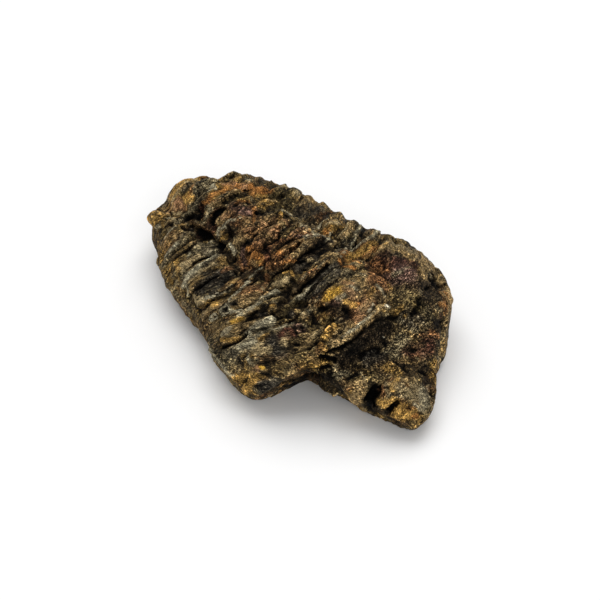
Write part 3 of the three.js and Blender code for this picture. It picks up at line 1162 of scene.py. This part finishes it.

# The strokes have frayed edges where they colour the stone and plain ones where they stand out.
fray = 0.4 * blots[3] + 0.3 * blots[4]
marked = np.zeros(len(points))
for stroke in MARKS.split("\n"):
    if not stroke:
        continue
    colour, half_width, cover, rise, *route = stroke.split()
    edge = distance_to(route) / (float(half_width) * PIXEL)
    lay(colour, float(cover) / 100 * on_top * (1 - smooth(edge + fray, 0.6, 1.4)))
    marked += float(rise) / 100 * on_top * (1 - smooth(edge, 0.4, 1.2))

# Pale clay fills the pores, so it is the smoother stone. The crust and the grit are the roughest.
calm = smooth(tone.mean(axis=1), 0.08, 0.2) * (1 - gritty) + 0.6 * gritty
crack *= smooth(blots[1], -0.3, 0.2) * (0.3 + 0.7 * crusty)
plate_tone *= 0.4 + 0.6 * crusty
fine = (0.07 + 0.12 * crusty) * blots[2] + (0.06 + 0.08 * crusty + 0.06 * gritty) * blots[3]
fine += (0.03 + 0.04 * crusty + 0.05 * gritty) * blots[4] + 0.12 * plate_tone - 0.18 * crack

# The relief, in millimetres: broad swells, creases along the ribs, folds down the flanks, the rib
# ends, the strokes that stand out and the fine roughness. It stays inside the solid's own box.
BROAD_SWELL = 0.25
MIDDLE_SWELL = 0.15
CREASE_HEIGHT = 0.16
FOLD_HEIGHT = 0.5
RIB_END_HEIGHT = 0.35
creases = uneven((0.7, 4, 4), seed=7) * on_top
folds = (np.abs(uneven((1.3, 5, 6), seed=9)) - 0.25) * flank
relief = BROAD_SWELL * blots[0] + MIDDLE_SWELL * blots[1] + CREASE_HEIGHT * creases
relief += FOLD_HEIGHT * folds + RIB_END_HEIGHT * far_flank * rib_crest
relief += marked + fine * (1 - 0.6 * calm)
box_low, box_high = (np.array(corner) / MM for corner in cad_box)
shaped = np.clip(points + normals * relief[:, None], box_low, box_high)
skin.vertices.foreach_set("co", (shaped * MM).ravel())
skin.update()

# Painted shade darkens the hollows and the high spots are made paler, so each point is compared with
# the skin around it, near by and further off.
NEAR_ROUNDS = 5
FAR_ROUNDS = 40
HOLLOW_SHADE_DARKENS = 0.85
CREST_PALING = 0.45
ends = values_of(skin.edges, "vertices", 2).astype(int)
neighbours = np.bincount(ends.ravel(), minlength=len(points))


def relaxed(places, rounds):
    """The points, each moved again and again to the middle of its neighbours."""
    for _ in range(rounds):
        places = np.column_stack([
            (np.bincount(ends[:, 0], places[ends[:, 1], axis], len(places))
             + np.bincount(ends[:, 1], places[ends[:, 0], axis], len(places))) / neighbours
            for axis in range(3)
        ])
    return places


skin_normals = values_of(skin.vertex_normals, "vector")
near_by = ((shaped - relaxed(shaped, NEAR_ROUNDS)) * skin_normals).sum(axis=1)
further = ((shaped - relaxed(shaped, FAR_ROUNDS)) * skin_normals).sum(axis=1)
hollow_shade = np.clip(smooth(-near_by, 0.0, 0.10) * 0.5 + smooth(-further, 0.0, 0.35) * 0.7, 0, 1)
crest_paling = smooth(near_by, 0.0, 0.10) * 0.6 + smooth(further, 0.0, 0.4) * 0.4
# The hollows' painted shade and the paler high spots go into the stone's colour here.
tone *= ((1 - HOLLOW_SHADE_DARKENS * hollow_shade) * (1 + CREST_PALING * crest_paling))[:, None]
tone *= ((1 + 0.3 * plate_tone) * (1 - 0.7 * crack))[:, None]


def keep_on_skin(name, values, kind="FLOAT"):
    attribute = skin.attributes.new(name, kind, "POINT")
    field = {"FLOAT": "value", "FLOAT_VECTOR": "vector", "FLOAT_COLOR": "color"}[kind]
    attribute.data.foreach_set(field, np.ascontiguousarray(values, dtype=np.float32).ravel())


keep_on_skin("rib_lines", np.column_stack((rib_place, across, points[:, 2])), "FLOAT_VECTOR")
keep_on_skin("grit", gritty)
keep_on_skin("calm", calm)
keep_on_skin("crust", np.clip(crusty + 0.4 * smooth(blots[1], 0.0, 0.3), 0, 1))
# The kept colour holds the stains and also the painted shade: the darkened hollows and the black
# strokes in holes, gaps and under overhangs.
keep_on_skin("stain_and_shade", np.column_stack((tone, np.ones(len(points)))), "FLOAT_COLOR")

# The finish: dull, stained stone. Fine patterns that follow the ribs brighten and darken its kept
# colour, which holds the stains and the painted shade.
# A pattern's size is in cells to a millimetre, along, across and up.
stone_finish = bpy.data.materials.new("fossil_stone")
stone_finish.use_nodes = True
tree = stone_finish.node_tree
tree.nodes.clear()


def add(kind, **settings):
    node = tree.nodes.new(kind)
    for name, value in settings.items():
        setattr(node, name, value)
    return node


def join(out, into):
    tree.links.new(out, into)


def kept(name, socket="Fac"):
    """A value that was kept on the skin."""
    return add("ShaderNodeAttribute", attribute_name=name).outputs[socket]


def scaled(vector, scale):
    node = add("ShaderNodeMapping")
    node.inputs["Scale"].default_value = scale
    join(vector, node.inputs["Vector"])
    return node.outputs[0]


def speckle(vector, scale=1.0, detail=2, rough=0.6, warp=0.0):
    node = add("ShaderNodeTexNoise")
    node.inputs["Scale"].default_value = scale
    node.inputs["Detail"].default_value = detail
    node.inputs["Roughness"].default_value = rough
    node.inputs["Distortion"].default_value = warp
    join(vector, node.inputs["Vector"])
    return node.outputs[0]


def cells(vector, scale=1.0, feature="F1"):
    """Broken cells: a random value in each, or the distance to its edge."""
    node = add("ShaderNodeTexVoronoi", feature=feature)
    node.inputs["Scale"].default_value = scale
    join(vector, node.inputs["Vector"])
    return node.outputs["Distance" if feature == "DISTANCE_TO_EDGE" else "Color"]


def ramp(value, *stops):
    """Turns a value into a brightness or a tint, by stops of (value, brightness or tint)."""
    node = add("ShaderNodeValToRGB")
    elements = node.color_ramp.elements
    while len(elements) < len(stops):
        elements.new(0.5)
    for element, (place, level) in zip(elements, stops):
        element.position = place
        element.color = (*level, 1) if isinstance(level, tuple) else (level, level, level, 1)
    join(value, node.inputs[0])
    return node.outputs[0]


def times(factor, first, second):
    """Multiplies one colour by another, as much as the factor says."""
    node = add("ShaderNodeMix", data_type="RGBA", blend_type="MULTIPLY")
    if isinstance(factor, float):
        node.inputs["Factor"].default_value = factor
    else:
        join(factor, node.inputs["Factor"])
    join(first, node.inputs[6])
    join(second, node.inputs[7])
    return node.outputs[2]


def warped(vector, scale, amount):
    """Pushes a pattern's places to and fro by a noise."""
    noises = add("ShaderNodeTexNoise")
    noises.inputs["Scale"].default_value = scale
    noises.inputs["Detail"].default_value = 2
    join(vector, noises.inputs["Vector"])
    push = add("ShaderNodeVectorMath", operation="SUBTRACT")
    join(noises.outputs["Color"], push.inputs[0])
    push.inputs[1].default_value = (0.5, 0.5, 0.5)
    spread = add("ShaderNodeVectorMath", operation="SCALE")
    join(push.outputs[0], spread.inputs[0])
    spread.inputs["Scale"].default_value = amount
    pushed = add("ShaderNodeVectorMath", operation="ADD")
    join(vector, pushed.inputs[0])
    join(spread.outputs[0], pushed.inputs[1])
    return pushed.outputs[0]


def dented(height, depth, base=None):
    node = add("ShaderNodeBump")
    node.inputs["Distance"].default_value = depth
    join(height, node.inputs["Height"])
    if base:
        join(base, node.inputs["Normal"])
    return node.outputs[0]


surface = add("ShaderNodeBsdfPrincipled")
surface.inputs["Roughness"].default_value = 0.6
surface.inputs["Specular IOR Level"].default_value = 0.05
output = add("ShaderNodeOutputMaterial")
join(surface.outputs[0], output.inputs[0])

rib_lines = kept("rib_lines", "Vector")
bent = warped(rib_lines, 1.2, 0.7)
flake_places = scaled(bent, (1.5, 0.8, 1.2))
grain_places = scaled(bent, (3.6, 2.8, 3.2))
streaks = speckle(scaled(rib_lines, (2.6, 0.6, 1.0)), detail=5, rough=0.7, warp=0.4)
flecks = speckle(scaled(rib_lines, (6.0, 3.5, 4.0)))
flakes = cells(flake_places)
flake_edges = cells(flake_places, feature="DISTANCE_TO_EDGE")
grains = cells(grain_places)
grain_edges = cells(grain_places, feature="DISTANCE_TO_EDGE")
grit = cells(rib_lines, 5.6)
fissures = speckle(scaled(bent, (0.9, 0.28, 0.5)), detail=6, rough=0.62, warp=0.6)
threads = speckle(scaled(bent, (3.4, 0.9, 1.6)), detail=3, rough=0.55, warp=0.5)
dust = speckle(scaled(rib_lines, (9.0, 6.5, 7.5)), detail=1, rough=0.5)
patchy = speckle(rib_lines, 0.45)

# The smoother stone takes less of most patterns, and the fleck and grain edges come in patches.
rougher = ramp(kept("calm"), (0.0, 0.9), (1.0, 0.4))
in_patches = times(1.0, ramp(patchy, (0.4, 0.3), (0.6, 1)), rougher)

STREAK_TONES = (0.34, (0.6, 0.58, 0.56)), (0.5, 1.0), (0.66, (1.4, 1.39, 1.36))
FLECK_TONES = (0.36, (0.15, 0.14, 0.12)), (0.5, 0.9), (0.64, (2.2, 2.15, 2.0))
FLAKE_TONES = (0.25, 0.68), (0.75, 1.36)
GRAIN_TONES = (0.25, 0.4), (0.5, 0.95), (0.75, (2.1, 2.05, 1.95))
FLAKE_EDGE_TONES = (0.0, 0.1), (0.10, 1.1)
GRAIN_EDGE_TONES = (0.0, 0.3), (0.12, 1.1)
GRIT_TONES = (0.25, 0.14), (0.5, 0.62), (0.75, (2.9, 2.95, 3.0))
FISSURE_DARK = (0.12, 0.1, 0.08)
FISSURE_TONES = (0.47, 1), (0.49, FISSURE_DARK), (0.505, FISSURE_DARK), (0.52, 1)
PALE_THREAD_TONES = (0.455, 1), (0.475, (2.2, 2.18, 2.1)), (0.495, 1)
DARK_THREAD_TONES = (0.535, 1), (0.55, 0.2), (0.57, 1)
DUST_TONES = (0.37, (0.35, 0.34, 0.33)), (0.5, 0.92), (0.63, (1.95, 1.95, 1.9))

# Each pattern in turn multiplies the kept colour, stains and painted shade, as much as its first value
# says.
fissure_lines = ramp(fissures, *FISSURE_TONES)
shade = kept("stain_and_shade", "Color")
shade = times(1.0, shade, ramp(streaks, *STREAK_TONES))
shade = times(in_patches, shade, ramp(flecks, *FLECK_TONES))
shade = times(rougher, shade, ramp(flakes, *FLAKE_TONES))
shade = times(rougher, shade, ramp(grains, *GRAIN_TONES))
shade = times(kept("crust"), shade, ramp(flake_edges, *FLAKE_EDGE_TONES))
shade = times(in_patches, shade, ramp(grain_edges, *GRAIN_EDGE_TONES))
shade = times(kept("grit"), shade, ramp(grit, *GRIT_TONES))
shade = times(rougher, shade, fissure_lines)
shade = times(0.9, shade, ramp(threads, *PALE_THREAD_TONES))
shade = times(0.8, shade, ramp(threads, *DARK_THREAD_TONES))
shade = times(1.0, shade, ramp(dust, *DUST_TONES))
join(shade, surface.inputs["Base Color"])

crack_depth = ramp(flake_edges, (0.0, 0), (0.15, 1))
grain_depth = ramp(grain_edges, (0.0, 0), (0.2, 1))
dents = dented(flecks, 0.08 * MM)
dents = dented(fissure_lines, 0.1 * MM, dents)
dents = dented(grain_depth, 0.05 * MM, dents)
dents = dented(crack_depth, 0.08 * MM, dents)
join(dents, surface.inputs["Normal"])
stone.data.materials.append(stone_finish)

select_only(stone)
bpy.ops.object.shade_smooth()
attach(stone, "root")
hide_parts("trilobite_fossil")

# ---- Floor ----
# A plain studio floor: one flat sheet with a pale matt finish. It runs far past the picture's edges,
# and the stone lies loose on it.
FLOOR_SIZE = 3
bpy.ops.mesh.primitive_plane_add(size=FLOOR_SIZE)
floor = bpy.context.object
floor.name = "floor"
floor_finish = bpy.data.materials.new("pale_floor")
floor_finish.use_nodes = True
floor_surface = floor_finish.node_tree.nodes["Principled BSDF"]
floor_surface.inputs["Base Color"].default_value = (0.9, 0.9, 0.9, 1)
floor_surface.inputs["Roughness"].default_value = 0.8
floor.data.materials.append(floor_finish)

# ---- Lights ----
# Two square studio lamps that face the stone, a large one above its tail and a weaker one in front of
# its head. A plain white light comes from all round.
ALL_ROUND_LIGHT = 0.5


def soft_light(name, place, size, power):
    """A square lamp that faces the stone."""
    bpy.ops.object.light_add(type="AREA", location=place)
    light = bpy.context.object
    light.name = name
    light.data.size = size
    light.data.energy = power
    light.rotation_euler = (-Vector(place)).to_track_quat("-Z", "Y").to_euler()


soft_light("overhead", place=(-0.2, 0.15, 0.7), size=0.8, power=4.3)
soft_light("front_fill", place=(0.5, -0.3, 0.4), size=0.4, power=1.2)
world = bpy.data.worlds.new("studio")
world.use_nodes = True
world.node_tree.nodes["Background"].inputs["Color"].default_value = (1, 1, 1, 1)
world.node_tree.nodes["Background"].inputs["Strength"].default_value = ALL_ROUND_LIGHT
bpy.context.scene.world = world
bpy.context.scene.view_settings.view_transform = "Standard"
